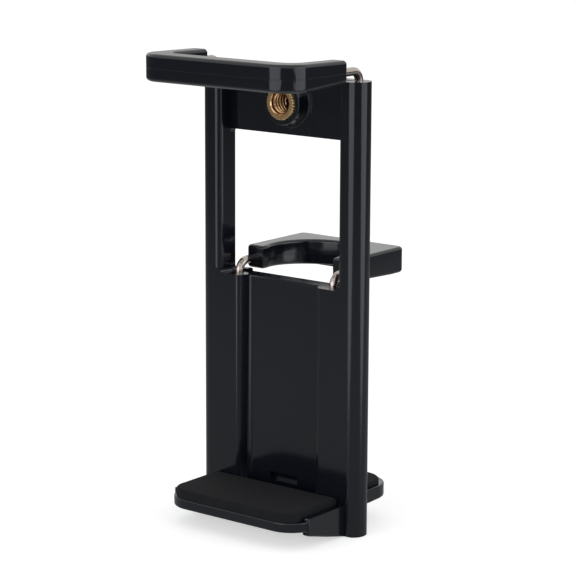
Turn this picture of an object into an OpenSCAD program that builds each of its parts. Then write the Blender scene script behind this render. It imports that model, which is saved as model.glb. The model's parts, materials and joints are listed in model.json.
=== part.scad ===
// Adapter that screws onto a tripod and holds a tablet on its front or a phone on its back.
// Drawn with y = 0 on the front of the rails and z = 0 at the foot, then moved by placed()
// so that the origin is the mouth of the threaded insert.

/* [Frame] */
// Width across the two rails
frame_w = 57.2; // [55:0.2:61]
// Height from the foot to the rail tops
frame_h = 129.2; // [126:0.2:150]
// Depth of the closed frame, front to back
frame_d = 8; // [7.9:0.1:9]
// Depth of the front shell, up to the seam with the rear shell
seam_y = 5; // [4.8:0.1:5.4]
// Radius of the upright outer corners
corner_r = 3.9; // [2:0.1:3.9]
// Width of one rail beside the window
rail_w = 6.8; // [6:0.1:7.4]
// Radius of the rails' front edges beside the window
rail_edge_r = 0.8; // [0.2:0.1:1.4]
// Radius of the window's corners
window_r = 1.2; // [0.5:0.1:3]
// Height of the lower panel, up to the window
panel_h = 70.7; // [66:0.1:76]
// Height of the bar across the top of the window
bar_h = 17; // [16.8:0.1:20]
// Wall left between the recess down the front of the lower panel and the spring channels
recess_wall = 0.9; // [0.8:0.1:3]
// Depth of that recess
recess_depth = 3.4; // [1:0.1:3.6]
// How much each side of the recess slopes in towards its floor
recess_slope = 2; // [0.5:0.1:3]
// Width of the small slot at the foot of the recess
slot_w = 10; // [6:0.2:16]
// Height of that slot
slot_h = 2.4; // [1.5:0.1:3]
// Gap between the slot and the ledge under it
slot_gap = 2.6; // [0.6:0.1:4]
// Front-to-back length of the flat under the foot
foot_flat = 7.4; // [5:0.1:7.6]

/* [Threaded insert] */
// Distance of the thread below the rail tops
thread_drop = 7.8; // [7:0.1:8.6]
// Outside diameter of the thread
thread_d = 6.35; // [6.35, 9.525]
// Wall of the brass insert round the thread
insert_wall = 1.625; // [1.2:0.005:2]
// Length of the insert
insert_len = 6.2; // [5:0.1:6.4]
// Set-back of the insert's mouth from the front of the rails
insert_setback = 1; // [0.6:0.1:1.4]
// How far the insert stands out of its boss
insert_proud = 0.8; // [0.2:0.1:1]
// Plastic left round the insert at the top of the boss
boss_wall = 1.4; // [1:0.1:2]
// Height of the sloping end of the boss
boss_slope = 3; // [1:0.1:3.1]
// How much wider the boss is below its sloping end
boss_flare = 1; // [0.5:0.1:1.6]

/* [Ledges] */
// Set-back of the ledges' sides from the sides of the frame
ledge_in = 4; // [3:0.1:5.4]
// Radius of the ledges' corners
ledge_r = 8.5; // [5:0.5:9]
// How far the front ledge reaches out
front_ledge_reach = 22; // [20.5:0.5:24]
// Height of the top of the front ledge above the foot
front_ledge_z = 8.2; // [8:0.1:9.4]
// Thickness of the front ledge
front_ledge_t = 2.8; // [2:0.1:3.4]
// How far the rear ledge reaches out
rear_ledge_reach = 16.8; // [15:0.2:20]
// Height of the top of the rear ledge above the foot
rear_ledge_z = 11.1; // [10:0.1:12]
// Thickness of the rear ledge
rear_ledge_t = 3.9; // [2.5:0.1:4.5]
// Thickness of the foam pad on the front ledge
front_pad_t = 2.9; // [1:0.1:3.4]
// Radius of that pad's corners
front_pad_r = 5; // [5:0.5:8]
// Thickness of the foam pad on the rear ledge
rear_pad_t = 1.2; // [1:0.1:1.6]
// Rim of the rear ledge left bare round its pad
pad_inset = 1.5; // [1:0.1:2.5]
// Gap between a pad and the walls beside it
pad_gap = 0.3; // [0.1:0.1:1]
// Height of the side lips of the front ledge
lip_h = 1; // [0.3:0.1:2]
// Thickness of the side lips and of the outer gussets under them
lip_t = 2.3; // [1:0.1:2.6]
// Length of the side lips and of the outer gussets
lip_len = 16.5; // [10:0.5:17]
// Thickness of the ribs under the front ledge
rib_t = 1.4; // [1:0.1:2.5]
// Distance between the ribs under the front ledge
rib_step = 11.6; // [10:0.1:12]
// How far the ribs reach out under the front ledge
rib_reach = 19.5; // [18:0.5:20]
// How far the rod tubes stand out of the back
tube_proud = 0.9; // [0.5:0.1:1.2]
// Radius of the rod tubes
tube_r = 2.3; // [2.2:0.1:2.3]
// How far the rod tubes stand above the lower panel
tube_rise = 0.6; // [0.2:0.1:0.8]

/* [Rods and springs] */
// Diameter of the bent wires that carry the jaws
wire_d = 2.4; // [2:0.05:2.4]
// Play between a wire and its guide, on the radius
wire_play = 0.07; // [0.05:0.01:0.1]
// Distance of the wires behind the front of the rails
rod_y = 4; // [3.8:0.05:4.2]
// Distance between the two wires on each side
rod_step = 8.2; // [7.6:0.05:8.4]
// Diameter of the spring channels in the front shell
channel_d = 3.4; // [3.3:0.05:3.5]
// Height of the floor of the spring channels
channel_z = 10.5; // [9:0.1:12]
// Length of the close guide at the top of each channel
guide_len = 8; // [6:0.5:10]
// Length of the stop collar on the end of each leg
collar_len = 4; // [3:0.1:5]
// Floor of the stop collar under the wire
collar_floor = 0.8; // [0.6:0.1:1.2]
// Length of the pegs that the spring ends fit round
peg_len = 2.4; // [1.5:0.1:3]
// Diameter of those pegs
peg_d = 1.6; // [1:0.05:1.7]
// Thickness of the spring wire
spring_wire = 0.44; // [0.3:0.02:0.5]
// Middle diameter of the springs
spring_d = 2.44; // [2.4:0.02:2.5]
// Height of each tablet spring while the jaw is closed
tablet_spring_h = 31.5; // [26:0.5:60]
// Turns of each tablet spring
tablet_turns = 22; // [10:1:26]
// Height of each phone spring while the jaw is closed
phone_spring_h = 15; // [12:0.5:28]
// Turns of each phone spring
phone_turns = 12; // [6:1:14]
// Space left at each end of a spring
spring_gap = 0.1; // [0.05:0.01:0.2]

/* [Tablet jaw] */
// Set-back of the tablet jaw's sides from the sides of the frame
tablet_jaw_in = 1.4; // [1:0.1:1.6]
// Reach of the tablet jaw from its arm ends to its front
tablet_jaw_reach = 25.4; // [22:0.2:30]
// Gap between the arm ends and the front of the rails
tablet_jaw_gap = 3.6; // [2:0.1:4]
// Thickness of the front bar, front to back
tablet_bar = 7.5; // [7.3:0.1:9]
// Width of each arm
tablet_arm = 5.4; // [5.2:0.1:6]
// Radius of the outer corners
tablet_outer_r = 7.5; // [5:0.5:8.5]
// Radius of the inner corners
tablet_inner_r = 4; // [1:0.5:5]
// Height of the wire in the jaw above the rail tops
tablet_wire_rise = 2.9; // [2.8:0.1:4]
// Height of the jaw's top above that wire, at the front
tablet_above_front = 4.05; // [3.5:0.05:5]
// Height of the jaw's top above that wire, at the arm ends
tablet_above_end = 3.5; // [3:0.05:4.5]
// Depth of the jaw below that wire, at the front bar
tablet_below_front = 3.7; // [3.6:0.05:4.5]
// Depth of the jaw below that wire, at the arm ends
tablet_below_end = 2.65; // [2.6:0.05:3.5]
// Distance of the wire in the front bar from the jaw's front
tablet_wire_in = 2.6; // [2.3:0.1:2.7]
// Bend radius of the wire in the jaw's corners
tablet_bend = 5; // [4:0.5:6]
// Thickness of the pads let into the arms
arm_pad_t = 0.9; // [0.6:0.05:1]
// Width of those pads
arm_pad_w = 3.2; // [2:0.1:3.4]
// Length of those pads
arm_pad_len = 15; // [10:0.5:15.5]
// Distance between the tablet jaw's screws
tablet_screw_step = 14; // [8:0.5:15]

/* [Phone jaw] */
// Distance from the phone jaw's wires to its sides
phone_side = 1.75; // [1.7:0.05:2.5]
// Reach of the phone jaw from its arm ends to its back
phone_jaw_reach = 26.7; // [26:0.1:30]
// Gap between the arm ends and the back of the frame
phone_jaw_gap = 1.5; // [1.2:0.1:2.5]
// Narrowest width of the arms beside the round cut-out
phone_arm = 5.15; // [5:0.05:8]
// Narrowest width of the bar behind the cut-out
phone_bar = 5.8; // [5.4:0.1:8]
// Radius of the outer corners
phone_outer_r = 2; // [1:0.5:6]
// Height of the wire in the jaw above the lower panel
phone_wire_rise = 3.2; // [3.1:0.1:4]
// Height of the jaw's top above that wire
phone_above = 4; // [3.5:0.05:5]
// Depth of the jaw below that wire, at the arm ends
phone_below_end = 2.7; // [2.4:0.05:2.9]
// Depth of the jaw below that wire, at the back
phone_below_back = 3.6; // [3.4:0.05:3.8]
// Distance of the wire in the back bar from the jaw's back
phone_wire_in = 2.9; // [2.5:0.1:3]
// Bend radius of the wire in the jaw's corners
phone_bend = 5; // [4:0.5:6]
// Distance from the jaw's sides to the ends of the pad under its back bar
phone_pad_in = 3.75; // [3.5:0.05:8]
// Width of that pad, front to back
phone_pad_d = 4; // [3:0.1:4.2]
// Thickness of that pad
phone_pad_t = 1; // [0.8:0.05:1.2]
// How much of that pad is let into the jaw
phone_pad_sunk = 0.5; // [0.3:0.05:0.6]
// Distance of the phone jaw's screws from its wires
phone_screw_step = 6; // [5.5:0.1:6.2]
// Distance of the phone jaw's screws from the jaw's back
phone_screw_in = 6.5; // [6.3:0.1:6.7]

/* [Screws] */
// Shank diameter of the screws
screw_d = 1.8; // [1.5:0.1:2]
// Head diameter of the screws
screw_head_d = 3; // [2.6:0.1:3.1]
// Head height of the screws
screw_head_h = 1.1; // [0.8:0.1:1.3]
// Length of the frame's screws under their heads
shell_screw_len = 5; // [4:0.1:5]
// Length of the jaws' screws under their heads
jaw_screw_len = 4; // [3.5:0.1:4.3]

/* [Hidden] */
$fn = 48;

plastic = "#15171c";
foam = "#202123";
brass = "#c9a24a";
steel = "#b9bcc2";

// Overlap of pieces that are joined or cut through
over = 1;
// Fine gap of a piece seated in its pocket
seat = 0.02;
// Gap round a wire clamped between two shells
clamp_gap = 0.05;
// Gap round a screw head in its counterbore
head_gap = 0.1;
// Depth and width of a screw's cross recess
cross_deep = 0.6;
cross_wide = 0.45;

thread_h = frame_h - thread_drop;
window_w = frame_w - 2 * rail_w;
window_top = frame_h - bar_h;
tablet_rod_x = frame_w / 2 - rail_w / 2;
phone_rod_x = tablet_rod_x - rod_step;
recess_w = 2 * (phone_rod_x - channel_d / 2 - recess_wall);
guide_r = wire_d / 2 + wire_play;
tablet_guide_z = frame_h - guide_len;
phone_guide_z = panel_h - guide_len;
insert_d = thread_d + 2 * insert_wall;
boss_top_d = insert_d + 2 * boss_wall;
boss_front_y = insert_setback + insert_proud;
boss_base_y = boss_front_y + boss_slope;

ledge_w = frame_w - 2 * ledge_in;
front_ledge_under = front_ledge_z - front_ledge_t;
rear_ledge_under = rear_ledge_z - rear_ledge_t;
slot_z = front_ledge_z + slot_gap;
gusset_knee = [-front_ledge_reach * 0.43, front_ledge_under * 0.43];
gusset_bend = [-front_ledge_reach * 0.75, front_ledge_under * 0.78];

shell_screw_x = (tablet_rod_x + phone_rod_x) / 2;
shell_screw_z = [channel_z + 4.5, panel_h - 6];
head_seat_y = frame_d - screw_head_h - 0.2;

collar_r = channel_d / 2 - 0.15;
tablet_collar_z = channel_z + tablet_spring_h;
phone_collar_z = channel_z + phone_spring_h;

tablet_jaw_w = frame_w - 2 * tablet_jaw_in;
tablet_front = -tablet_jaw_gap - tablet_jaw_reach;
tablet_wire_z = frame_h + tablet_wire_rise;
tablet_wire_y = tablet_front + tablet_wire_in;
tablet_inside = tablet_jaw_w / 2 - tablet_arm;
tablet_screw_y = tablet_front + tablet_bar - 1.9;
tablet_screw_x = [-tablet_screw_step, 0, tablet_screw_step];

phone_end = frame_d + phone_jaw_gap;
phone_back = phone_end + phone_jaw_reach;
phone_wire_z = panel_h + phone_wire_rise;
phone_wire_y = phone_back - phone_wire_in;
phone_jaw_w = 2 * (phone_rod_x + phone_side);
phone_cut_r = phone_jaw_w / 2 - phone_arm;
phone_level_y = phone_back - phone_bar;
phone_cut_y = phone_level_y - phone_cut_r;
phone_pad_w = phone_jaw_w - 2 * phone_pad_in;
phone_screw_x = phone_rod_x - phone_screw_step;
phone_screw_y = phone_back - phone_screw_in;

arm_slope = atan((tablet_below_front - tablet_below_end) / (tablet_jaw_reach - tablet_bar));

// Puts the origin at the mouth of the insert
module placed() translate([0, -insert_setback, -thread_h]) children();

// Draws its children on both sides of the middle
module both_sides() {
    children();
    mirror([1, 0, 0]) children();
}

// Extrudes a plan between two heights
module slab(z0, z1) translate([0, 0, z0]) linear_extrude(z1 - z0) children();

// Extrudes a side view, drawn as [y, z], between two places along x
module side_view(x0, x1) translate([x0, 0, 0]) rotate([90, 0, 90]) linear_extrude(x1 - x0) children();

// Straight round bars along each axis
module bar_x(x0, x1, y, z, r) translate([x0, y, z]) rotate([0, 90, 0]) cylinder(h = x1 - x0, r = r);
module bar_y(x, y0, y1, z, r) translate([x, y0, z]) rotate([-90, 0, 0]) cylinder(h = y1 - y0, r = r);
module bar_z(x, y, z0, z1, r) translate([x, y, z0]) cylinder(h = z1 - z0, r = r);

// Quarter of a ring in the first quadrant of the plan
module elbow(bend, r) rotate_extrude(angle = 90) translate([bend, 0]) circle(r);

// Rectangle with its corners rounded
module rounded(w, d, r) {
    square([w - 2 * r, d], center = true);
    square([w, d - 2 * r], center = true);
    for (sx = [-1, 1], sy = [-1, 1])
        translate([sx * (w / 2 - r), sy * (d / 2 - r)]) circle(r);
}

// Plan of the closed frame
module frame_plan() translate([0, frame_d / 2]) rounded(frame_w, frame_d, corner_r);

// Plan of a ledge reaching out along y from 0, with its two outer corners rounded
module ledge_plan(w, reach, r, start) {
    translate([-w / 2, start]) square([w, reach - r - start]);
    translate([-w / 2 + r, start]) square([w - 2 * r, reach - start]);
    for (sx = [-1, 1]) translate([sx * (w / 2 - r), reach - r]) circle(r);
}

// The part of the space under the foot and the front ledge that the gussets leave free
module under_cut() side_view(-frame_w, frame_w) polygon([
    [-front_ledge_reach - over, -over],
    [frame_d - foot_flat, -over],
    [frame_d - foot_flat, 0],
    gusset_knee,
    gusset_bend,
    [-rib_reach, front_ledge_under],
    [-front_ledge_reach - over, front_ledge_under]
]);

// Channel in the front shell, open towards the seam so that a leg can be laid in
module open_channel(x, z0, z1, r) {
    bar_z(x, rod_y, z0, z1, r);
    translate([x - r, rod_y, z0]) cube([2 * r, seam_y - rod_y + over, z1 - z0]);
}

module screw(len) {
    difference() {
        cylinder(h = screw_head_h, r = screw_head_d / 2);
        for (a = [0, 90])
            rotate(a) translate([-screw_head_d / 3, -cross_wide / 2, screw_head_h - cross_deep])
                cube([screw_head_d / 1.5, cross_wide, cross_deep + over]);
    }
    translate([0, 0, -len]) cylinder(h = len + screw_head_h - cross_deep, r = screw_d / 2);
}

// Hole for such a screw: its shank, and a counterbore round its head
module screw_hole(len) {
    translate([0, 0, -len - 0.2]) cylinder(h = len + 0.3, r = screw_d / 2 + seat);
    cylinder(h = screw_head_h + over, r = screw_head_d / 2 + head_gap);
}

// Places its children at each screw of the frame, pointing out of the back
module at_shell_screws() both_sides() for (z = shell_screw_z)
    translate([shell_screw_x, head_seat_y, z]) rotate([-90, 0, 0]) children();

module front_ledge() {
    mirror([0, 1, 0]) slab(front_ledge_under, front_ledge_z)
        ledge_plan(ledge_w, front_ledge_reach, ledge_r, -over);
    difference() {
        union() {
            both_sides() translate([ledge_w / 2 - lip_t, -lip_len, 0])
                cube([lip_t, lip_len + over, front_ledge_z + lip_h]);
            for (x = [-rib_step, 0, rib_step])
                translate([x - rib_t / 2, -rib_reach, 0])
                    cube([rib_t, rib_reach + over, front_ledge_under + over / 2]);
        }
        under_cut();
    }
}

// Cuts the window out of a shell, with its front edges rounded where the rails meet it
module window_cut(top) {
    translate([0, -over, 0]) rotate([-90, 0, 0]) mirror([0, 1, 0]) linear_extrude(frame_d + 2 * over)
        translate([0, (panel_h + top) / 2]) rounded(window_w, top - panel_h, window_r);
}

// Rounds the front edges of the rails
module rail_edge_cut() both_sides()
    slab(panel_h + window_r, frame_h + over) translate([window_w / 2, 0]) difference() {
        translate([-over, -over]) square(rail_edge_r + over);
        translate([rail_edge_r, rail_edge_r]) circle(rail_edge_r);
    }

module front_shell() color(plastic) placed() {
    difference() {
        union() {
            difference() {
                slab(0, frame_h) intersection() {
                    frame_plan();
                    translate([-frame_w, 0]) square([2 * frame_w, seam_y]);
                }
                under_cut();
            }
            front_ledge();
        }
        window_cut(frame_h + 2 * window_r);
        rail_edge_cut();
        slab(front_ledge_z, frame_h) polygon([
            [-recess_w / 2 - recess_slope * over / recess_depth, -over],
            [recess_w / 2 + recess_slope * over / recess_depth, -over],
            [recess_w / 2 - recess_slope, recess_depth],
            [-recess_w / 2 + recess_slope, recess_depth]
        ]);
        translate([-slot_w / 2, 0, slot_z]) cube([slot_w, frame_d, slot_h]);
        both_sides() {
            open_channel(tablet_rod_x, channel_z, tablet_guide_z, channel_d / 2);
            open_channel(tablet_rod_x, tablet_guide_z - over, frame_h + over, guide_r);
            open_channel(phone_rod_x, channel_z, phone_guide_z, channel_d / 2);
            open_channel(phone_rod_x, phone_guide_z - over, panel_h + over, guide_r);
        }
        at_shell_screws() screw_hole(shell_screw_len);
    }
    both_sides() for (x = [tablet_rod_x, phone_rod_x])
        bar_z(x, rod_y, channel_z - over, channel_z + peg_len, peg_d / 2);
}

// Half-round tube down the back over each phone leg, standing a little above the panel
module rod_tube() {
    tube_y = frame_d + tube_proud - tube_r;
    bar_z(phone_rod_x, tube_y, rear_ledge_under, panel_h, tube_r);
    intersection() {
        bar_z(phone_rod_x, tube_y, panel_h - over, panel_h + tube_rise, tube_r);
        translate([0, tube_y + tube_r / 4, 0]) cube([frame_w, frame_d, frame_h]);
    }
}

module boss() {
    difference() {
        union() {
            bar_y(0, boss_base_y, frame_d, thread_h, boss_top_d / 2 + boss_flare);
            translate([0, boss_front_y, thread_h]) rotate([-90, 0, 0])
                cylinder(h = boss_slope, r1 = boss_top_d / 2, r2 = boss_top_d / 2 + boss_flare);
        }
        translate([-frame_w / 2, -over, frame_h]) cube([frame_w, frame_d + 2 * over, frame_h]);
    }
}

module rear_shell() color(plastic) placed() difference() {
    union() {
        difference() {
            slab(0, frame_h) intersection() {
                frame_plan();
                translate([-frame_w, seam_y]) square([2 * frame_w, frame_d]);
            }
            window_cut(window_top);
        }
        boss();
        difference() {
            both_sides() rod_tube();
            translate([-frame_w, -over, -over]) cube([2 * frame_w, seam_y + over, frame_h]);
        }
        translate([0, frame_d, 0]) slab(rear_ledge_under, rear_ledge_z)
            ledge_plan(ledge_w, rear_ledge_reach, ledge_r, -over);
    }
    bar_y(0, -over, insert_setback + insert_len + seat, thread_h, insert_d / 2 + seat);
    both_sides() {
        bar_z(tablet_rod_x, rod_y, channel_z, tablet_guide_z, channel_d / 2);
        bar_z(tablet_rod_x, rod_y, channel_z, frame_h + over, guide_r);
        bar_z(phone_rod_x, rod_y, channel_z, phone_guide_z, channel_d / 2);
        bar_z(phone_rod_x, rod_y, channel_z, panel_h + over, guide_r);
    }
    at_shell_screws() screw_hole(shell_screw_len);
}

module shell_screws() color(steel) placed() at_shell_screws() screw(shell_screw_len);

module thread_insert() color(brass) placed() difference() {
    bar_y(0, insert_setback, insert_setback + insert_len, thread_h, insert_d / 2);
    bar_y(0, 0, insert_setback + insert_len + over, thread_h, thread_d / 2);
}

module front_ledge_pad() color(foam) placed() mirror([0, 1, 0])
    slab(front_ledge_z, front_ledge_z + front_pad_t)
        ledge_plan(ledge_w - 2 * lip_t - 2 * pad_gap, front_ledge_reach - pad_gap, front_pad_r, pad_gap);

module rear_ledge_pad() color(foam) placed() translate([0, frame_d, 0])
    slab(rear_ledge_z, rear_ledge_z + rear_pad_t)
        ledge_plan(ledge_w - 2 * pad_inset, rear_ledge_reach - pad_inset, ledge_r - pad_inset,
            tube_proud + pad_gap);

// Plan of the tablet jaw: a bar with two arms
module tablet_jaw_plan() difference() {
    translate([0, -tablet_jaw_gap]) mirror([0, 1])
        ledge_plan(tablet_jaw_w, tablet_jaw_reach, tablet_outer_r, 0);
    translate([0, -tablet_jaw_gap]) mirror([0, 1])
        ledge_plan(2 * tablet_inside, tablet_jaw_reach - tablet_bar, tablet_inner_r, -over);
}

// The tablet jaw before it is split at the wire, thinner at its arm ends
module tablet_jaw_block() intersection() {
    slab(tablet_wire_z - 2 * tablet_above_front, tablet_wire_z + 2 * tablet_above_front)
        tablet_jaw_plan();
    side_view(-tablet_jaw_w, tablet_jaw_w) polygon([
        [tablet_front - over, tablet_wire_z + tablet_above_front],
        [tablet_front, tablet_wire_z + tablet_above_front],
        [-tablet_jaw_gap, tablet_wire_z + tablet_above_end],
        [over - tablet_jaw_gap, tablet_wire_z + tablet_above_end],
        [over - tablet_jaw_gap, tablet_wire_z - tablet_below_end],
        [-tablet_jaw_gap, tablet_wire_z - tablet_below_end],
        [tablet_front + tablet_bar, tablet_wire_z - tablet_below_front],
        [tablet_front - over, tablet_wire_z - tablet_below_front]
    ]);
}

// Bent wire: two legs, an elbow over each, and a run round the jaw; side is -1 forwards or 1 backwards
module bail(x, leg_z, top_z, wire_z, run_y, bend, side, r) {
    rise = wire_z - top_z;
    both_sides() {
        bar_z(x, rod_y, leg_z, top_z, r);
        translate([x, rod_y + side * rise, top_z]) rotate([90, 0, side * -90]) elbow(rise, r);
        bar_y(x, min(rod_y + side * rise, run_y - side * bend),
            max(rod_y + side * rise, run_y - side * bend), wire_z, r);
        translate([x - bend, run_y - side * bend, wire_z]) rotate(side < 0 ? -90 : 0) elbow(bend, r);
    }
    bar_x(bend - x, x - bend, run_y, wire_z, r);
}

module tablet_wire(r) bail(tablet_rod_x, tablet_collar_z + collar_floor + seat, frame_h, tablet_wire_z,
    tablet_wire_y, tablet_bend, -1, r);

module phone_wire(r) bail(phone_rod_x, phone_collar_z + collar_floor + seat, panel_h, phone_wire_z,
    phone_wire_y, phone_bend, 1, r);

module at_tablet_screws() for (x = tablet_screw_x)
    translate([x, tablet_screw_y, tablet_wire_z - tablet_below_front + screw_head_h + 0.2])
        rotate([180, 0, 0]) children();

module tablet_arm_pad(extra) both_sides() side_view(tablet_rod_x - arm_pad_w / 2 - extra,
    tablet_rod_x + arm_pad_w / 2 + extra)
    translate([-tablet_jaw_gap, tablet_wire_z - tablet_below_end]) rotate(180 + arm_slope)
        translate([over - extra, -arm_pad_t - extra]) square([arm_pad_len + 2 * extra, arm_pad_t + 2 * extra]);

module tablet_jaw_upper() color(plastic) placed() difference() {
    tablet_jaw_block();
    translate([-tablet_jaw_w, tablet_front - over, 0])
        cube([2 * tablet_jaw_w, 2 * tablet_jaw_reach, tablet_wire_z]);
    tablet_wire(wire_d / 2 + clamp_gap);
    at_tablet_screws() screw_hole(jaw_screw_len);
}

module tablet_jaw_lower() color(plastic) placed() difference() {
    tablet_jaw_block();
    translate([-tablet_jaw_w, tablet_front - over, tablet_wire_z])
        cube([2 * tablet_jaw_w, 2 * tablet_jaw_reach, 2 * tablet_above_front]);
    tablet_wire(wire_d / 2 + clamp_gap);
    at_tablet_screws() screw_hole(jaw_screw_len);
    tablet_arm_pad(seat);
}

module tablet_jaw_pads() color(foam) placed() tablet_arm_pad(0);

module tablet_jaw_screws() color(steel) placed() at_tablet_screws() screw(jaw_screw_len);

module tablet_bail() color(steel) placed() tablet_wire(wire_d / 2);

// Steel cup on the end of a leg, with a peg for the spring under it
module collar(x, z) {
    difference() {
        bar_z(x, rod_y, z, z + collar_len, collar_r);
        bar_z(x, rod_y, z + collar_floor, z + collar_len + over, wire_d / 2 + seat);
    }
    bar_z(x, rod_y, z - peg_len, z + collar_floor / 2, peg_d / 2);
}

module tablet_collars() color(steel) placed() both_sides() collar(tablet_rod_x, tablet_collar_z);

module phone_collars() color(steel) placed() both_sides() collar(phone_rod_x, phone_collar_z);

// Coil spring standing on the channel floor
module coil(length, turns) {
    steps = 8;
    sides = 4;
    rings = turns * steps;
    rise = length - spring_wire;
    function ring_point(i, j) = let(
        a = 360 * i / steps,
        b = 360 * (j + 0.5) / sides,
        r = spring_d / 2 + spring_wire / 2 * cos(b)
    ) [r * cos(a), r * sin(a), spring_wire / 2 + rise * i / rings + spring_wire / 2 * sin(b)];
    polyhedron(
        points = [for (i = [0:rings], j = [0:sides - 1]) ring_point(i, j)],
        faces = concat(
            [[for (j = [0:sides - 1]) j]],
            [for (i = [0:rings - 1], j = [0:sides - 1]) let(
                k = (j + 1) % sides,
                p = i * sides,
                q = p + sides
            ) each [[p + j, q + j, q + k], [p + j, q + k, p + k]]],
            [[for (j = [sides - 1:-1:0]) rings * sides + j]]
        )
    );
}

// Spring between the channel floor and a collar
module spring_at(x, collar_z, turns) translate([x, rod_y, channel_z + spring_gap])
    coil(collar_z - channel_z - 2 * spring_gap, turns);

module tablet_spring_left() color(steel) placed()
    spring_at(-tablet_rod_x, tablet_collar_z, tablet_turns);

module tablet_spring_right() color(steel) placed()
    spring_at(tablet_rod_x, tablet_collar_z, tablet_turns);

module phone_spring_left() color(steel) placed() spring_at(-phone_rod_x, phone_collar_z, phone_turns);

module phone_spring_right() color(steel) placed() spring_at(phone_rod_x, phone_collar_z, phone_turns);

// Plan of the phone jaw: a horseshoe open towards the frame
module phone_jaw_plan() difference() {
    translate([0, phone_end]) ledge_plan(phone_jaw_w, phone_jaw_reach, phone_outer_r, 0);
    translate([0, phone_cut_y]) circle(phone_cut_r, $fn = 96);
}

// The phone jaw before it is split at the wire, its underside falling towards the back
module phone_jaw_block() intersection() {
    slab(phone_wire_z - 2 * phone_above, phone_wire_z + phone_above) phone_jaw_plan();
    side_view(-phone_jaw_w, phone_jaw_w) polygon([
        [phone_end - over, phone_wire_z + 2 * phone_above],
        [phone_end - over, phone_wire_z - phone_below_end],
        [phone_end, phone_wire_z - phone_below_end],
        [phone_level_y, phone_wire_z - phone_below_back],
        [phone_back + over, phone_wire_z - phone_below_back],
        [phone_back + over, phone_wire_z + 2 * phone_above]
    ]);
}

module at_phone_screws() both_sides()
    translate([phone_screw_x, phone_screw_y, phone_wire_z - phone_below_back + screw_head_h + 0.2])
        rotate([180, 0, 0]) children();

module phone_pad_plan(extra) translate([0, phone_wire_y])
    rounded(phone_pad_w + 2 * extra, phone_pad_d + 2 * extra, 1 + extra);

module phone_jaw_upper() color(plastic) placed() difference() {
    phone_jaw_block();
    translate([-phone_jaw_w, 0, 0]) cube([2 * phone_jaw_w, 2 * phone_back, phone_wire_z]);
    phone_wire(wire_d / 2 + clamp_gap);
    at_phone_screws() screw_hole(jaw_screw_len);
}

module phone_jaw_lower() color(plastic) placed() difference() {
    phone_jaw_block();
    translate([-phone_jaw_w, 0, phone_wire_z])
        cube([2 * phone_jaw_w, 2 * phone_back, 2 * phone_above]);
    phone_wire(wire_d / 2 + clamp_gap);
    at_phone_screws() screw_hole(jaw_screw_len);
    slab(0, phone_wire_z - phone_below_back + phone_pad_sunk + seat) phone_pad_plan(seat);
}

module phone_jaw_pad() color(foam) placed()
    slab(phone_wire_z - phone_below_back + phone_pad_sunk - phone_pad_t,
        phone_wire_z - phone_below_back + phone_pad_sunk) phone_pad_plan(0);

module phone_jaw_screws() color(steel) placed() at_phone_screws() screw(jaw_screw_len);

module phone_bail() color(steel) placed() phone_wire(wire_d / 2);

front_shell();
rear_shell();
shell_screws();
thread_insert();
front_ledge_pad();
rear_ledge_pad();
tablet_jaw_upper();
tablet_jaw_lower();
tablet_jaw_pads();
tablet_jaw_screws();
tablet_bail();
tablet_collars();
tablet_spring_left();
tablet_spring_right();
phone_jaw_upper();
phone_jaw_lower();
phone_jaw_pad();
phone_jaw_screws();
phone_bail();
phone_collars();
phone_spring_left();
phone_spring_right();
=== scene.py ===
"""Looks of a tripod adapter: a glossy two-shell frame, foam pads, a brass thread and two sprung jaws."""

import json
import math

import bmesh
import bpy
from bpy.props import FloatProperty, FloatVectorProperty, IntProperty, PointerProperty
from mathutils import Matrix, Vector

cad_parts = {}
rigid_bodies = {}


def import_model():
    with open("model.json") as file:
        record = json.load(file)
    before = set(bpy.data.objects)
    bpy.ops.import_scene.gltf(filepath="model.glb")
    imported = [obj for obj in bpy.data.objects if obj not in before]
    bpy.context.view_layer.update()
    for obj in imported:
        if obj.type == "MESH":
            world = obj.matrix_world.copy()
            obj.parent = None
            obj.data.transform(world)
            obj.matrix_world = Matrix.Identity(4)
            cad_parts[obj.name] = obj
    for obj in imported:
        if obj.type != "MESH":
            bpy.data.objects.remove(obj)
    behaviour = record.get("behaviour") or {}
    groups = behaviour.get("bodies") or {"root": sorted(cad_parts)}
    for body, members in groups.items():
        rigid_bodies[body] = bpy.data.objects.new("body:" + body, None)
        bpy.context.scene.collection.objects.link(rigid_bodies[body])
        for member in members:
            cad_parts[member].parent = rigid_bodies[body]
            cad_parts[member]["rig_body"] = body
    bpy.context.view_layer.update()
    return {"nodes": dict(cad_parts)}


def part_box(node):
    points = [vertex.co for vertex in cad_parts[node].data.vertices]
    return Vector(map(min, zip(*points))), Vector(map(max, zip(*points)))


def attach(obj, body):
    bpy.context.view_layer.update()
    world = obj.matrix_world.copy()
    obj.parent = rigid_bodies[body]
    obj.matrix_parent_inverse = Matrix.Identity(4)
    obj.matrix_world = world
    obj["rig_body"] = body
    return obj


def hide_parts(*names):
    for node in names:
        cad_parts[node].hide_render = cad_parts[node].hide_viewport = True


bl_info = {
    "name": "Sprung Tripod Adapter",
    "version": (1, 0, 0),
    "blender": (4, 5, 0),
    "location": "View3D > Sidebar > Adapter",
    "description": "Dresses the frame of a tripod adapter with its finished pieces and materials",
    "category": "Add Mesh",
}

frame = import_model()

MM = 0.001
MERGE = 1e-6
HAIR = 0.01 * MM
FLAT = math.radians(0.2)
SHARP = math.radians(30)
CREASE = math.radians(40)

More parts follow.
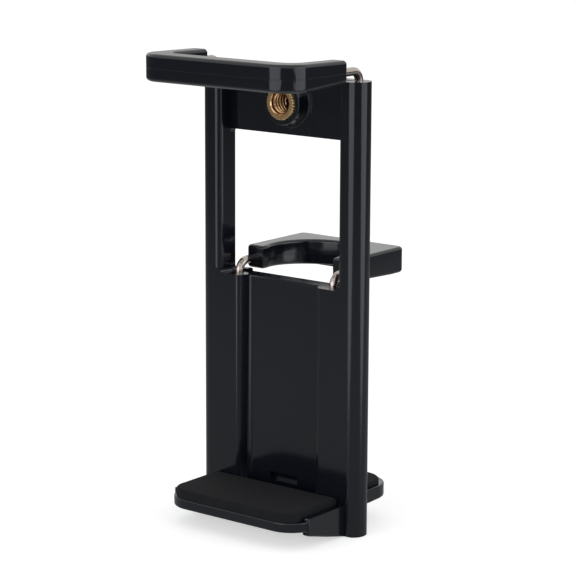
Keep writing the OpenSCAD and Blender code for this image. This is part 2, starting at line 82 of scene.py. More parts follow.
# Sizes of the CAD's frame and limits by which its edges are found, across from the middle plane.
RAIL_WIDTH = 6.8 * MM
RAIL_EDGE = 0.8 * MM
WINDOW_FOOT = -50.7 * MM
WINDOW_CORNER = 1.2 * MM
BAR_SIDE = 21.9 * MM
UNDER_BAR = -13 * MM
RECESS_SIDE = 14.4 * MM
RECESS_FLOOR_SIDE = 12.4 * MM
RECESS_DEPTH = 3.4 * MM
TABLET_LEG = 25.2 * MM
PHONE_LEG = 17 * MM
CHANNEL_RADIUS = 1.75 * MM
SEAM_SIDE = 27.5 * MM
BOSS_INSIDE = 5.9 * MM
BOSS_OUTSIDE = 7.5 * MM
CHANNEL_DEPTH = 3 * MM
REAR_LEDGE_START = 9 * MM
REAR_SHELL_BACK = 8.2 * MM
EDGE_SLACK = 0.1 * MM

# Sizes of the CAD's jaws. The rises and falls are those of their sloping upper and lower faces.
TABLET_BAR = 7.5 * MM
TABLET_ARM = 5.4 * MM
TABLET_OUTER = 7.5 * MM
TABLET_INNER = 4 * MM
TABLET_TOP_FALL = 0.55 * MM
TABLET_ARM_RISE = 1.05 * MM
PHONE_BAR = 5.8 * MM
PHONE_OUTER = 2 * MM
PHONE_HOLLOW = 13.6 * MM
PHONE_ARM_RISE = 0.9 * MM

# What the looks add: how far the front shell's walls stand in, and where the phone jaw's arms end.
WALL_STEP = 0.75 * MM
PHONE_TIP = 12.7 * MM

SHELL_LOW, SHELL_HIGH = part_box("front_shell")
INSERT_LOW, INSERT_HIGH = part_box("thread_insert")
JAW_LOW, JAW_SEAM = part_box("tablet_jaw_lower")
JAW_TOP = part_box("tablet_jaw_upper")[1]
PHONE_LOW, PHONE_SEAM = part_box("phone_jaw_lower")
PHONE_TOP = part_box("phone_jaw_upper")[1]
SEAM_Y = SHELL_HIGH.y
RAIL_FRONT = INSERT_LOW.y - 1 * MM


class Looks(bpy.types.PropertyGroup):
    """Colours and finish of the adapter."""

    plastic_colour: FloatVectorProperty(
        name="Plastic", description="Colour of the moulded shells", subtype="COLOR",
        size=3, min=0, max=1, default=(0.0048, 0.0062, 0.0100))
    plastic_roughness: FloatProperty(
        name="Plastic roughness", description="Roughness of the moulded shells",
        min=0.05, max=0.8, default=0.14)
    foam_colour: FloatVectorProperty(
        name="Foam", description="Colour of the foam pads", subtype="COLOR",
        size=3, min=0, max=1, default=(0.0082, 0.0086, 0.0098))
    brass_colour: FloatVectorProperty(
        name="Brass", description="Colour of the threaded insert", subtype="COLOR",
        size=3, min=0, max=1, default=(0.8, 0.54, 0.28))
    # Painted shade: a dark red-brown laid into the roots of the insert's thread, where the bore is shaded.
    groove_colour: FloatVectorProperty(
        name="Painted thread shade", description="Painted shade laid into the roots of the insert's thread", subtype="COLOR",
        size=3, min=0, max=1, default=(0.16, 0.05, 0.022))
    wire_colour: FloatVectorProperty(
        name="Plated wire", description="Colour of the bent wires", subtype="COLOR",
        size=3, min=0, max=1, default=(0.46, 0.4, 0.36))
    steel_colour: FloatVectorProperty(
        name="Steel", description="Colour of the screws, collars and springs", subtype="COLOR",
        size=3, min=0, max=1, default=(0.46, 0.46, 0.48))


class Edges(bpy.types.PropertyGroup):
    """Rounding of the edges."""

    tablet_rim: FloatProperty(
        name="Tablet jaw rims", description="Rounding of the tablet jaw's upper and lower rims",
        subtype="DISTANCE", unit="LENGTH", min=0.2 * MM, max=1.4 * MM, default=1.1 * MM)
    phone_rim: FloatProperty(
        name="Phone jaw rims", description="Rounding of the phone jaw's upper and lower rims",
        subtype="DISTANCE", unit="LENGTH", min=0.2 * MM, max=1.2 * MM, default=1 * MM)
    recess_edge: FloatProperty(
        name="Recess edges", description="Rounding along the sides of the frame's recess",
        subtype="DISTANCE", unit="LENGTH", min=0.1 * MM, max=1.2 * MM, default=0.9 * MM)
    ledge_edge: FloatProperty(
        name="Ledge rims", description="Rounding of the ledges' rims",
        subtype="DISTANCE", unit="LENGTH", min=0.1 * MM, max=0.9 * MM, default=0.6 * MM)
    window_side: FloatProperty(
        name="Rails beside the window", description="Rounding of the rails' front edges beside the window",
        subtype="DISTANCE", unit="LENGTH", min=0.9 * MM, max=2.4 * MM, default=1.9 * MM)
    boss_edge: FloatProperty(
        name="Boss edges", description="Rounding of the sloping boss round the insert",
        subtype="DISTANCE", unit="LENGTH", min=0.1 * MM, max=0.8 * MM, default=0.5 * MM)
    shell_edge: FloatProperty(
        name="Shell edges", description="Rounding of the frame's moulded edges",
        subtype="DISTANCE", unit="LENGTH", min=0.05 * MM, max=0.6 * MM, default=0.3 * MM)
    seam_edge: FloatProperty(
        name="Seam edges", description="Rounding of the edges that meet at a seam",
        subtype="DISTANCE", unit="LENGTH", min=0.03 * MM, max=0.3 * MM, default=0.12 * MM)
    pad_edge: FloatProperty(
        name="Pad edges", description="Rounding of the foam pads' upper edges",
        subtype="DISTANCE", unit="LENGTH", min=0.1 * MM, max=0.8 * MM, default=0.6 * MM)


class Thread(bpy.types.PropertyGroup):
    """The threaded insert."""

    pitch: FloatProperty(
        name="Pitch", description="Rise of the tripod thread in one turn",
        subtype="DISTANCE", unit="LENGTH", min=0.5 * MM, max=2 * MM, default=1.27 * MM)
    major: FloatProperty(
        name="Major radius", description="Radius at the roots of the inner thread",
        subtype="DISTANCE", unit="LENGTH", min=2 * MM, max=5 * MM, default=3.175 * MM)
    depth: FloatProperty(
        name="Ridge height", description="How far the ridges stand in from the roots",
        subtype="DISTANCE", unit="LENGTH", min=0.2 * MM, max=1 * MM, default=0.6 * MM)
    teeth: IntProperty(
        name="Knurl teeth", description="Teeth round the rim of the insert",
        min=12, max=60, default=34)
    tooth: FloatProperty(
        name="Knurl depth", description="Depth of the teeth round the rim",
        subtype="DISTANCE", unit="LENGTH", min=0.05 * MM, max=0.4 * MM, default=0.24 * MM)


class Socket:
    """A shader value that takes part in Python expressions."""

    def __init__(self, tree, socket):
        self.tree = tree
        self.socket = socket

    def maths(self, operation, first, second=0.0):
        node = self.tree.nodes.new("ShaderNodeMath")
        node.operation = operation
        for place, value in enumerate((first, second)):
            if isinstance(value, Socket):
                self.tree.links.new(value.socket, node.inputs[place])
            else:
                node.inputs[place].default_value = value
        return Socket(self.tree, node.outputs[0])

    def __add__(self, other):
        return self.maths("ADD", self, other)

    def __mul__(self, other):
        return self.maths("MULTIPLY", self, other)

    def __sub__(self, other):
        return self.maths("SUBTRACT", self, other)

    def __rsub__(self, other):
        return self.maths("SUBTRACT", other, self)

    def above(self, edge):
        return self.maths("GREATER_THAN", self, edge)

    def fall(self, start, end, low, high):
        """Smooth change from one value to another over a span."""
        node = self.tree.nodes.new("ShaderNodeMapRange")
        node.interpolation_type = "SMOOTHSTEP"
        self.tree.links.new(self.socket, node.inputs[0])
        for place, value in enumerate((start, end, low, high), 1):
            node.inputs[place].default_value = value
        return Socket(self.tree, node.outputs[0])


class Finish:
    """A new material with its Principled shader."""

    def __init__(self, name):
        self.material = bpy.data.materials.new(name)
        self.material.use_nodes = True
        self.tree = self.material.node_tree
        self.tree.nodes.clear()
        output = self.tree.nodes.new("ShaderNodeOutputMaterial")
        self.shader = self.tree.nodes.new("ShaderNodeBsdfPrincipled")
        self.tree.links.new(self.shader.outputs[0], output.inputs["Surface"])

    def node(self, kind, settings=None, **values):
        made = self.tree.nodes.new(kind)
        for name, value in (settings or {}).items():
            setattr(made, name, value)
        for name, value in values.items():
            self.set(made, name.replace("_", " "), value)
        return made

    def set(self, node, name, value):
        if isinstance(value, Socket):
            self.tree.links.new(value.socket, node.inputs[name])
        else:
            node.inputs[name].default_value = value

    def socket(self, node, name=0):
        return Socket(self.tree, node.outputs[name])

    def shade(self, **values):
        for name, value in values.items():
            self.set(self.shader, name.replace("_", " "), value)

    def noise(self, scale, detail=3.0, stretch=(1, 1, 1)):
        """Noise over the object's own coordinates; scale is in cycles a metre."""
        place = self.socket(self.node("ShaderNodeTexCoord"), "Object")
        mapped = self.node("ShaderNodeMapping", Vector=place)
        mapped.inputs["Scale"].default_value = stretch
        made = self.node("ShaderNodeTexNoise", Vector=self.socket(mapped), Scale=scale, Detail=detail)
        return self.socket(made, "Fac")

    def cells(self, scale):
        place = self.socket(self.node("ShaderNodeTexCoord"), "Object")
        made = self.node("ShaderNodeTexVoronoi", Vector=place, Scale=scale)
        return self.socket(made, "Distance")

    def bump(self, height, distance, strength=1.0):
        made = self.node("ShaderNodeBump", Height=height, Distance=distance, Strength=strength)
        self.set(self.shader, "Normal", self.socket(made, "Normal"))

    def blend(self, fac, low, high):
        """Mixes two colours by a value."""
        made = self.node("ShaderNodeMix", {"data_type": "RGBA"})
        self.tree.links.new(fac.socket, made.inputs[0])
        for place, colour in ((6, low), (7, high)):
            if isinstance(colour, Socket):
                self.tree.links.new(colour.socket, made.inputs[place])
            else:
                made.inputs[place].default_value = (*colour, 1)
        return Socket(self.tree, made.outputs[2])


def scaled(colour, share):
    return tuple(min(1, c * share) for c in colour)


def moulded_plastic():
    """Black ABS with the slight unevenness of a polished mould."""
    looks = bpy.context.scene.adapter_looks
    made = Finish("moulded_plastic")
    flow = made.noise(34, 2, (1, 1, 0.35))
    made.shade(Base_Color=made.blend(flow, scaled(looks.plastic_colour, 0.86),
                                     scaled(looks.plastic_colour, 1.14)),
               Roughness=made.noise(160) * 0.06 + (looks.plastic_roughness - 0.03))
    made.bump(made.noise(420, 2), 0.012 * MM)
    return made.material


def foam_sheet():
    """Fine closed-cell foam with a dusty bloom."""
    looks = bpy.context.scene.adapter_looks
    made = Finish("foam_sheet")
    cells = made.cells(2600)
    bloom = made.noise(120, 4)
    made.shade(Base_Color=made.blend(bloom * 0.6 + cells * 0.5, scaled(looks.foam_colour, 0.7),
                                     scaled(looks.foam_colour, 1.35)),
               Roughness=made.noise(500) * 0.08 + 0.88, Specular_IOR_Level=0.25)
    made.bump(cells + made.noise(1500, 3) * 0.7, 0.09 * MM)
    return made.material


def turned_brass():
    """Bright brass with fine turning lines round the insert's axis, and painted shade that darkens the roots
    of its thread.
    """
    looks = bpy.context.scene.adapter_looks
    made = Finish("turned_brass")
    thread = bpy.context.scene.adapter_thread
    tint = made.noise(700, 3)
    place = made.node("ShaderNodeSeparateXYZ", Vector=made.socket(made.node("ShaderNodeTexCoord"), "Object"))
    across, along = made.socket(place, "X"), made.socket(place, "Z")
    square = across * across + along * along
    distance = square.maths("SQRT", square)
    # Painted shade: towards the roots of the thread inside the bore, the colour turns to the dark root shade
    # and the roughness rises.
    depth = distance.fall(thread.major - thread.depth * 0.8, thread.major - thread.depth * 0.3, 0, 1)
    groove_shade = depth * (1 - distance.above(thread.major + 0.02 * MM))
    bright = made.blend(tint, scaled(looks.brass_colour, 0.88), scaled(looks.brass_colour, 1.1))
    made.shade(Base_Color=made.blend(groove_shade, bright, looks.groove_colour), Metallic=1.0,
               Roughness=made.noise(900, 2) * 0.12 + 0.14 + groove_shade * 0.2)
    made.bump(made.noise(2400, 2, (1, 0.2, 1)), 0.004 * MM)
    return made.material


def plated_wire():
    """Polished plating over drawn wire."""
    looks = bpy.context.scene.adapter_looks
    made = Finish("plated_wire")
    tint = made.noise(260, 3)
    made.shade(Base_Color=made.blend(tint, scaled(looks.wire_colour, 0.88), scaled(looks.wire_colour, 1.12)),
               Metallic=1.0, Roughness=made.noise(600, 3) * 0.1 + 0.1)
    made.bump(made.noise(1400, 2), 0.008 * MM)
    return made.material


def zinc_steel():
    """Plated steel of the screws, collars and springs."""
    looks = bpy.context.scene.adapter_looks
    made = Finish("zinc_steel")
    tint = made.noise(500, 3)
    made.shade(Base_Color=made.blend(tint, scaled(looks.steel_colour, 0.85),
                                     scaled(looks.steel_colour, 1.15)),
               Metallic=1.0, Roughness=made.noise(900, 3) * 0.15 + 0.24)
    made.bump(made.noise(1800, 2), 0.01 * MM)
    return made.material


FINISHES = {
    "shell": moulded_plastic,
    "pad": foam_sheet,
    "insert": turned_brass,
    "wire": plated_wire,
    "screw": zinc_steel,
    "spring": zinc_steel,
}


def material_of(slot):
    """The material for a slot, made once."""
    maker = FINISHES[slot]
    return bpy.data.materials.get(maker.__name__) or maker()


def body_of(node):
    return frame["nodes"][node]["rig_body"]


def cad_copy(node):
    """A CAD node's mesh as a bmesh, merged, with its flat faces whole."""
    bm = bmesh.new()
    bm.from_mesh(frame["nodes"][node].data)
    bmesh.ops.remove_doubles(bm, verts=bm.verts, dist=MERGE)
    bmesh.ops.dissolve_limit(bm, angle_limit=FLAT, verts=bm.verts, edges=bm.edges)
    return bm


def round_edges(bm, width, test, segments=3):
    """Rounds the sharp edges whose two ends both pass a test."""
    edges = [e for e in bm.edges if len(e.link_faces) == 2 and e.calc_face_angle(0) > SHARP
             and test(e.verts[0].co) and test(e.verts[1].co)]
    if edges:
        bmesh.ops.bevel(bm, geom=edges, offset=width, offset_type="OFFSET", segments=segments, profile=0.5,
                        affect="EDGES", clamp_overlap=True, material=-1)


def arc(centre, radius, start, end, steps):
    """Points along an arc in plan, angles in degrees."""
    turns = [math.radians(start + (end - start) * i / steps) for i in range(steps + 1)]
    return [(centre[0] + radius * math.cos(a), centre[1] + radius * math.sin(a)) for a in turns]


def lofted(outline, low_rim, high_rim, bottom, top, fold):
    """Solid over a plan outline, between two faces that follow functions of y, with rounded rims.

    outline(inset) gives the plan pulled in by a distance. The faces may fold at one y."""
    steps = 5
    turns = [math.pi / 2 * step / steps for step in range(steps + 1)]
    levels = [(low_rim * (1 - math.sin(a)), low_rim * (1 - math.cos(a))) for a in turns]
    levels += [(high_rim * (1 - math.sin(a)), high_rim * (math.cos(a) - 1)) for a in reversed(turns)]
    bm = bmesh.new()
    rings = [[bm.verts.new((x, y, level)) for x, y in outline(inset)]
             for level, (inset, _) in enumerate(levels)]
    for below, above in zip(rings, rings[1:]):
        for place in range(len(below)):
            following = (place + 1) % len(below)
            bm.faces.new((below[place], below[following], above[following], above[place]))
    bm.faces.new(reversed(rings[0]))
    bm.faces.new(rings[-1])
    bmesh.ops.bisect_plane(bm, geom=bm.verts[:] + bm.edges[:] + bm.faces[:], dist=MERGE,
                           plane_co=(0, fold, 0), plane_no=(0, 1, 0))
    for vert in bm.verts:
        level = min(int(vert.co.z + MERGE), len(levels) - 2)
        share = vert.co.z - level
        rise = levels[level][1] * (1 - share) + levels[level + 1][1] * share
        vert.co.z = (bottom if vert.co.z < steps + 0.5 else top)(vert.co.y) + rise
    bmesh.ops.recalc_face_normals(bm, faces=bm.faces)
    return bm


def intersect(bm, tool):
    """What two bmeshes have in common. Both are used up."""
    parts = []
    for shape in (bm, tool):
        mesh = bpy.data.meshes.new("carving")
        shape.to_mesh(mesh)
        shape.free()
        holder = bpy.data.objects.new("carving", mesh)
        bpy.context.scene.collection.objects.link(holder)
        parts.append(holder)
    step = parts[0].modifiers.new("carving", "BOOLEAN")
    step.operation = "INTERSECT"
    step.solver = "EXACT"
    step.object = parts[1]
    result = bmesh.new()
    result.from_object(parts[0], bpy.context.evaluated_depsgraph_get())
    for holder in parts:
        mesh = holder.data
        bpy.data.objects.remove(holder)
        bpy.data.meshes.remove(mesh)
    return result


def finish_piece(name, bm, node, slot):
    """Makes an object of a bmesh, shades it, and lets it stand for its CAD node."""
    bmesh.ops.recalc_face_normals(bm, faces=bm.faces)
    mesh = bpy.data.meshes.new(name)
    bm.to_mesh(mesh)
    bm.free()
    mesh.polygons.foreach_set("use_smooth", [True] * len(mesh.polygons))
    mesh.set_sharp_from_angle(angle=CREASE)
    mesh.materials.clear()
    mesh.materials.append(material_of(slot))
    mesh.polygons.foreach_set("material_index", [0] * len(mesh.polygons))
    piece = bpy.data.objects.new(name, mesh)
    bpy.context.scene.collection.objects.link(piece)
    weighted = piece.modifiers.new("Even shading", "WEIGHTED_NORMAL")
    weighted.keep_sharp = True
    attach(piece, body_of(node))
    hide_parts(node)
    return piece


def near(value, place, reach=0.02 * MM):
    return abs(value - place) < reach


def in_channel(co):
    """Whether a point is inside the covered channels of the wires and springs."""
    beside = min(abs(abs(co.x) - TABLET_LEG), abs(abs(co.x) - PHONE_LEG)) < CHANNEL_RADIUS
    return beside and 0 < co.y < SEAM_Y + CHANNEL_DEPTH


class FrameShells(bpy.types.Operator):
    """Makes the front and rear shells of the frame"""

    bl_idname = "adapter.frame_shells"
    bl_label = "Frame shells"

    def execute(self, context):
        edges = context.scene.adapter_edges
        recess_floor = RAIL_FRONT + RECESS_DEPTH

        bm = cad_copy("front_shell")
        self.widen_rails(bm, edges.window_side)
        round_edges(bm, edges.recess_edge,
                    lambda co: near(abs(co.x), RECESS_SIDE) and near(co.y, RAIL_FRONT), 5)
        round_edges(bm, edges.recess_edge * 1.2,
                    lambda co: near(abs(co.x), RECESS_FLOOR_SIDE) and near(co.y, recess_floor), 5)
        round_edges(bm, edges.ledge_edge, lambda co: co.y < RAIL_FRONT - 5 * EDGE_SLACK, 3)
        round_edges(bm, edges.shell_edge,
                    lambda co: (co.y > RAIL_FRONT - 2 * EDGE_SLACK and not near(co.y, SEAM_Y)
                                and not in_channel(co)), 3)
        round_edges(bm, edges.seam_edge, lambda co: near(co.y, SEAM_Y) and abs(co.x) > SEAM_SIDE, 2)
        finish_piece("front_moulding", bm, "front_shell", "shell")

        bm = cad_copy("rear_shell")
        round_edges(bm, edges.boss_edge,
                    lambda co: (BOSS_INSIDE < math.hypot(co.x, co.z) < BOSS_OUTSIDE
                                and co.y < SEAM_Y + EDGE_SLACK), 3)
        round_edges(bm, edges.ledge_edge, lambda co: co.y > RAIL_FRONT + REAR_LEDGE_START, 3)
        round_edges(bm, edges.shell_edge, self.rear_edge, 3)
        round_edges(bm, edges.seam_edge, lambda co: near(co.y, SEAM_Y) and abs(co.x) > SEAM_SIDE, 2)
        finish_piece("rear_moulding", bm, "rear_shell", "shell")
        return {"FINISHED"}

    def widen_rails(self, bm, width):
        """Lets the front shell's walls beside the window stand in past the rear shell's, more rounded.

        Nothing below the window moves: the ledge has vertices just as far out from the middle."""
        wall = SHELL_HIGH.x - RAIL_WIDTH
        corner = -(WINDOW_CORNER + HAIR) / RAIL_EDGE
        for vert in bm.verts:
            side = math.copysign(1, vert.co.x)
            across = (side * vert.co.x - wall) / RAIL_EDGE
            deep = (vert.co.y - RAIL_FRONT) / RAIL_EDGE
            if vert.co.z < WINDOW_FOOT - HAIR or not corner < across < 1.02:
                continue
            if across < 0.02:
                vert.co.x -= side * WALL_STEP
            elif deep < 1.02:
                vert.co.x = side * (wall - WALL_STEP + width * across)
            if deep < 1.02:
                vert.co.y = RAIL_FRONT + width * deep

    def rear_edge(self, co):
        on_bar = abs(co.x) < BAR_SIDE and co.z > UNDER_BAR
        in_shell = co.y < RAIL_FRONT + REAR_SHELL_BACK
        return (on_bar or not near(co.y, SEAM_Y)) and in_shell and not in_channel(co)


class JawShells(bpy.types.Operator):
    """Makes the two halves of each jaw"""

    bl_idname = "adapter.jaw_shells"
    bl_label = "Jaw shells"

    def execute(self, context):
        edges = context.scene.adapter_edges
        seam = edges.seam_edge
        for jaw, envelope, rim in (("tablet_jaw", self.tablet_envelope, edges.tablet_rim),
                                   ("phone_jaw", self.phone_envelope, edges.phone_rim)):
            for half, low_rim, high_rim in (("upper", seam, rim), ("lower", rim, seam)):
                bm = intersect(cad_copy(f"{jaw}_{half}"), envelope(low_rim, high_rim, half == "upper", rim))
                bmesh.ops.remove_doubles(bm, verts=bm.verts, dist=MERGE * 2)
                finish_piece(f"{jaw}_{half}_moulding", bm, f"{jaw}_{half}", "shell")
        return {"FINISHED"}

    def tablet_envelope(self, low_rim, high_rim, is_upper, rim):
        """Outside of half a tablet jaw, a hair larger than the CAD solid so that only its rims cut."""
        wide = JAW_SEAM.x + HAIR
        front = JAW_LOW.y - HAIR
        end = JAW_SEAM.y + HAIR
        inside = wide - TABLET_ARM - 2 * HAIR
        bar = front + TABLET_BAR + 2 * HAIR
        outer = TABLET_OUTER + HAIR
        inner = TABLET_INNER - HAIR
        corner = rim + EDGE_SLACK

        def outline(inset):
            half = arc((wide - corner, end - corner), corner - inset, 0, 90, 5)
            half += arc((inside + corner, end - corner), corner - inset, 90, 180, 5)
            half += arc((inside - inner, bar + inner), inner + inset, 0, -90, 12)
            bow = arc((wide - outer, front + outer), outer - inset, -90, 0, 20)
            return half + [(-x, y) for x, y in reversed(half)] + [(-x, y) for x, y in reversed(bow)] + bow

        top_slope = TABLET_TOP_FALL / (JAW_SEAM.y - JAW_LOW.y)
        low_slope = TABLET_ARM_RISE / (JAW_SEAM.y - JAW_LOW.y - TABLET_BAR)
        if is_upper:
            bottom = lambda y: JAW_SEAM.z - HAIR
            top = lambda y: JAW_TOP.z + HAIR - (y - JAW_LOW.y) * top_slope
        else:
            bottom = lambda y: JAW_LOW.z - HAIR + max(0, y - bar) * low_slope
            top = lambda y: JAW_SEAM.z + HAIR
        return lofted(outline, low_rim, high_rim, bottom, top, bar)

    def phone_envelope(self, low_rim, high_rim, is_upper, rim):
        """Outside of half a phone jaw, a hair larger than the CAD solid. Its rims and its arms' ends cut."""
        wide = PHONE_SEAM.x + HAIR
        end = PHONE_LOW.y - HAIR
        back = PHONE_SEAM.y + HAIR
        bend = PHONE_OUTER + HAIR
        hollow = PHONE_HOLLOW - HAIR
        level = PHONE_SEAM.y - PHONE_BAR
        centre = level - PHONE_HOLLOW
        corner = rim + EDGE_SLACK

        def outline(inset):
            tip = PHONE_TIP + inset
            drop = math.degrees(math.acos(tip / (hollow + inset)))
            half = [(tip, end + inset)] + arc((wide - corner, end + corner), corner - inset, -90, 0, 5)
            half += arc((wide - bend, back - bend), bend - inset, 0, 90, 8)
            return (half + [(-x, y) for x, y in reversed(half)]
                    + arc((0, centre), hollow + inset, 180 + drop, -drop, 72))

        slope = PHONE_ARM_RISE / (level - PHONE_LOW.y)
        if is_upper:
            bottom = lambda y: PHONE_SEAM.z - HAIR
            top = lambda y: PHONE_TOP.z + HAIR
        else:
            bottom = lambda y: PHONE_LOW.z - HAIR + max(0, level - y) * slope
            top = lambda y: PHONE_SEAM.z + HAIR
        return lofted(outline, low_rim, high_rim, bottom, top, level)


class FoamPads(bpy.types.Operator):
    """Makes the foam pads"""

    bl_idname = "adapter.foam_pads"
    bl_label = "Foam pads"

    def execute(self, context):
        edges = context.scene.adapter_edges
        for node in ("front_ledge_pad", "rear_ledge_pad", "phone_jaw_pad", "tablet_jaw_pads"):
            bm = cad_copy(node)
            if node.endswith("ledge_pad"):
                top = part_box(node)[1].z
                round_edges(bm, edges.pad_edge, lambda co: near(co.z, top))
            piece = finish_piece(node + "_foam", bm, node, "pad")
        return {"FINISHED"}


class BrassInsert(bpy.types.Operator):
    """Makes the knurled brass insert with its thread"""

    bl_idname = "adapter.brass_insert"
    bl_label = "Brass insert"

    def execute(self, context):
        thread = context.scene.adapter_thread
        outer = (INSERT_HIGH.x - INSERT_LOW.x) / 2
        columns = thread.teeth * 4
        bm = bmesh.new()
        rings = []
        for column in range(columns):
            turn = 2 * math.pi * column / columns
            rim = outer - (thread.tooth if column % 4 in (2, 3) else 0)
            rings.append([bm.verts.new((r * math.cos(turn), INSERT_LOW.y + y, r * math.sin(turn)))
                          for y, r in self.profile(thread, turn, outer, rim)])
        for column in range(columns):
            here, there = rings[column], rings[(column + 1) % columns]
            for place in range(len(here)):
                following = (place + 1) % len(here)
                bm.faces.new((here[place], here[following], there[following], there[place]))
        bmesh.ops.remove_doubles(bm, verts=bm.verts, dist=MERGE * 5)
        bmesh.ops.dissolve_degenerate(bm, dist=MERGE, edges=bm.edges)
        finish_piece("brass_insert", bm, "thread_insert", "insert")
        return {"FINISHED"}

    def profile(self, thread, turn, outer, rim):
        """Radii down the bore, along its helix, and back up the outside, at one angle."""
        length = INSERT_HIGH.y - INSERT_LOW.y
        mouth = 0.45 * MM
        flare = 0.6
        lead = turn / (2 * math.pi)
        points = [(0, thread.major + mouth * flare)]
        steps = 8
        for step in range(-steps, math.ceil(length / thread.pitch + 1) * steps):
            y = min(max((step / steps + lead) * thread.pitch, 0), length)
            phase = (step % steps) / steps
            ridge = max(0, 1 - abs(phase - 0.5) * 2.6)
            radius = thread.major - thread.depth * min(1, ridge * 1.25)
            chamfer = thread.major + (mouth - y) * flare if y < mouth else 0
            fade = min(1, max(0, (y - mouth * 0.5) / thread.pitch * 2))
            points.append((y, max(thread.major - (thread.major - radius) * fade, chamfer)))
        back = 0.3 * MM
        small = 0.12 * MM
        knurl_start, knurl_end = 1.1 * MM, 0.95 * MM
        points += [(length, thread.major), (length, outer - back), (length - back, outer),
                   (knurl_start, outer), (knurl_end, rim), (small, rim), (0, rim - small)]
        return points


class BentWires(bpy.types.Operator):
    """Makes the two bent wires that carry the jaws"""

    bl_idname = "adapter.bent_wires"
    bl_label = "Bent wires"

    def execute(self, context):
        for node in ("tablet_bail", "phone_bail"):
            finish_piece(node + "_wire", cad_copy(node), node, "wire")
        return {"FINISHED"}


class Fixings(bpy.types.Operator):
    """Makes the screws, and gives the CAD collars and springs their steel"""

    bl_idname = "adapter.fixings"
    bl_label = "Screws, collars and springs"

    def execute(self, context):
        for node in ("shell_screws", "tablet_jaw_screws", "phone_jaw_screws"):
            finish_piece(node + "_steel", cad_copy(node), node, "screw")
        for node in ("tablet_collars", "phone_collars", "tablet_spring_left", "tablet_spring_right",
                     "phone_spring_left", "phone_spring_right"):
            for slot in frame["nodes"][node].material_slots:
                slot.material = zinc_steel()
        return {"FINISHED"}


CAMERA_AZIMUTH = math.radians(38.047)
CAMERA_ELEVATION = math.radians(11.759)
CAMERA_ROLL = math.radians(0.224)
CAMERA_DISTANCE = 642.38 * MM
CAMERA_TARGET = Vector((-0.63, 4.94, -53.6)) * MM
CAMERA_LENS = 140.27
WHITE = (1, 1, 1, 1)

# The room that shiny surfaces reflect: each change is from one height of the ray to another, and
# from one strength to another.
CEILING = (-0.02, 0.17, 0, 0.85)
TABLE = (-0.24, -0.12, 0.25, 0)
GROUND = (-0.85, -0.55, 0.6, 0)
ROOM_LEAST = 0.1
WORLD_LIGHT = 0.62
PAPER_GLOW = 0.55
PAPER = (0.8, 0.8, 0.8, 1)
FLOOR_HALF = 1.5

# Azimuth and elevation in degrees, width and height in metres, power in watts.
LAMP_DISTANCE = 0.9
LAMP_COLOUR = (0.92, 0.95, 1)
LAMPS = {
    "front_light": (-6, 8, 0.84, 0.82, 2.5),
    "right_light": (100, 8, 0.92, 0.82, 2.7),
}


def camera_matrix():
    """Place and turn of the camera."""
    back = Vector((math.sin(CAMERA_AZIMUTH) * math.cos(CAMERA_ELEVATION),
                   -math.cos(CAMERA_AZIMUTH) * math.cos(CAMERA_ELEVATION), math.sin(CAMERA_ELEVATION)))
    right = Vector((math.cos(CAMERA_AZIMUTH), math.sin(CAMERA_AZIMUTH), 0))
    up = back.cross(right)
    right_rolled = right * math.cos(CAMERA_ROLL) + up * math.sin(CAMERA_ROLL)
    up_rolled = up * math.cos(CAMERA_ROLL) - right * math.sin(CAMERA_ROLL)
    turn = Matrix((right_rolled, up_rolled, back)).transposed().to_4x4()
    return Matrix.Translation(CAMERA_TARGET + back * CAMERA_DISTANCE) @ turn


def studio_room(tree):
    """Strength of the world: 1 for the camera, a room with a dark belt for reflections, else plain."""
    path = tree.nodes.new("ShaderNodeLightPath")
    camera = Socket(tree, path.outputs["Is Camera Ray"])
    glossy = Socket(tree, path.outputs["Is Glossy Ray"])
    through = Socket(tree, path.outputs["Is Transmission Ray"])
    ray = tree.nodes.new("ShaderNodeTexCoord")
    split = tree.nodes.new("ShaderNodeSeparateXYZ")
    tree.links.new(ray.outputs["Generated"], split.inputs[0])
    height = Socket(tree, split.outputs["Z"])
    room = height.fall(*CEILING) + height.fall(*TABLE) + height.fall(*GROUND) + ROOM_LEAST
    seen = camera.maths("MAXIMUM", camera, through)
    return seen + glossy * room * (1 - seen) + (1 - seen) * (1 - glossy) * WORLD_LIGHT


def softbox(name, azimuth, elevation, width, height, power):
    """An area lamp turned to the point that the camera looks at."""
    lamp = bpy.data.lights.new(name, "AREA")
    lamp.shape = "ELLIPSE"
    lamp.color = LAMP_COLOUR
    lamp.size = width
    lamp.size_y = height
    lamp.energy = power
    direction = Vector((math.sin(azimuth) * math.cos(elevation), -math.cos(azimuth) * math.cos(elevation),
                        math.sin(elevation)))
    holder = bpy.data.objects.new(name, lamp)
    holder.location = CAMERA_TARGET + direction * LAMP_DISTANCE
    holder.rotation_euler = direction.to_track_quat("Z", "Y").to_euler()
    holder.visible_camera = False
    bpy.context.scene.collection.objects.link(holder)


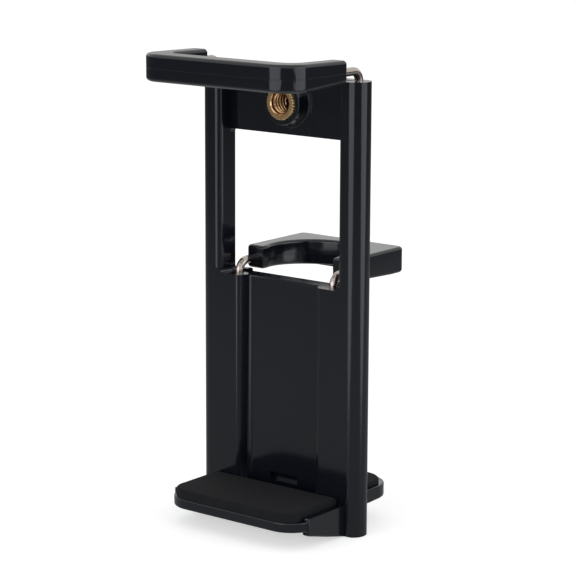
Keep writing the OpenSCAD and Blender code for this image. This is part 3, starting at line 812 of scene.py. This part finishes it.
class Studio(bpy.types.Operator):
    """Makes the floor, the lamps, the world and the camera"""

    bl_idname = "adapter.studio"
    bl_label = "Studio"

    def execute(self, context):
        scene = context.scene
        scene.view_settings.view_transform = "Standard"

        world = bpy.data.worlds.new("studio_white")
        world.use_nodes = True
        scene.world = world
        background = world.node_tree.nodes["Background"]
        background.inputs["Color"].default_value = WHITE
        strength = studio_room(world.node_tree)
        world.node_tree.links.new(strength.socket, background.inputs["Strength"])

        bm = bmesh.new()
        bmesh.ops.create_grid(bm, x_segments=1, y_segments=1, size=FLOOR_HALF)
        bmesh.ops.translate(bm, verts=bm.verts, vec=(0, 0, SHELL_LOW.z))
        mesh = bpy.data.meshes.new("floor")
        bm.to_mesh(mesh)
        bm.free()
        floor = bpy.data.objects.new("floor", mesh)
        scene.collection.objects.link(floor)
        mesh.materials.append(self.floor_white())

        for name, (azimuth, elevation, width, height, power) in LAMPS.items():
            softbox(name, math.radians(azimuth), math.radians(elevation), width, height, power)

        camera = bpy.data.cameras.new("camera")
        camera.lens = CAMERA_LENS
        camera.clip_start = 0.01
        holder = bpy.data.objects.new("camera", camera)
        holder.matrix_world = camera_matrix()
        scene.collection.objects.link(holder)
        scene.camera = holder
        return {"FINISHED"}

    def floor_white(self):
        """White paper that keeps the adapter's shadow and lets reflections through to the room."""
        material = bpy.data.materials.new("floor_white")
        material.use_nodes = True
        tree = material.node_tree
        tree.nodes.clear()
        output = tree.nodes.new("ShaderNodeOutputMaterial")
        paper = tree.nodes.new("ShaderNodeBsdfDiffuse")
        paper.inputs["Color"].default_value = PAPER
        glow = tree.nodes.new("ShaderNodeEmission")
        clear = tree.nodes.new("ShaderNodeBsdfTransparent")
        path = tree.nodes.new("ShaderNodeLightPath")
        strength = Socket(tree, path.outputs["Is Camera Ray"]) * PAPER_GLOW
        tree.links.new(strength.socket, glow.inputs["Strength"])
        both = tree.nodes.new("ShaderNodeAddShader")
        tree.links.new(paper.outputs[0], both.inputs[0])
        tree.links.new(glow.outputs[0], both.inputs[1])
        choice = tree.nodes.new("ShaderNodeMixShader")
        tree.links.new(path.outputs["Is Glossy Ray"], choice.inputs[0])
        tree.links.new(both.outputs[0], choice.inputs[1])
        tree.links.new(clear.outputs[0], choice.inputs[2])
        tree.links.new(choice.outputs[0], output.inputs["Surface"])
        return material


class AdapterPanel(bpy.types.Panel):
    """Lists the adapter's pieces"""

    bl_idname = "VIEW3D_PT_adapter"
    bl_label = "Tripod adapter"
    bl_space_type = "VIEW_3D"
    bl_region_type = "UI"
    bl_category = "Adapter"

    def draw(self, context):
        layout = self.layout
        for operator in OPERATORS:
            layout.operator(operator.bl_idname)
        for group in GROUPS:
            settings = getattr(context.scene, group)
            box = layout.box()
            for name in settings.__annotations__:
                box.prop(settings, name)


OPERATORS = (FrameShells, JawShells, FoamPads, BrassInsert, BentWires, Fixings, Studio)
GROUPS = {"adapter_looks": Looks, "adapter_edges": Edges, "adapter_thread": Thread}
CLASSES = (*GROUPS.values(), *OPERATORS, AdapterPanel)


def register():
    for cls in CLASSES:
        bpy.utils.register_class(cls)
    for name, group in GROUPS.items():
        setattr(bpy.types.Scene, name, PointerProperty(type=group))


def unregister():
    for name in GROUPS:
        delattr(bpy.types.Scene, name)
    for cls in reversed(CLASSES):
        bpy.utils.unregister_class(cls)


def main():
    register()
    bpy.ops.adapter.frame_shells()
    bpy.ops.adapter.jaw_shells()
    bpy.ops.adapter.foam_pads()
    bpy.ops.adapter.brass_insert()
    bpy.ops.adapter.bent_wires()
    bpy.ops.adapter.fixings()
    bpy.ops.adapter.studio()


if __name__ == "__main__":
    main()
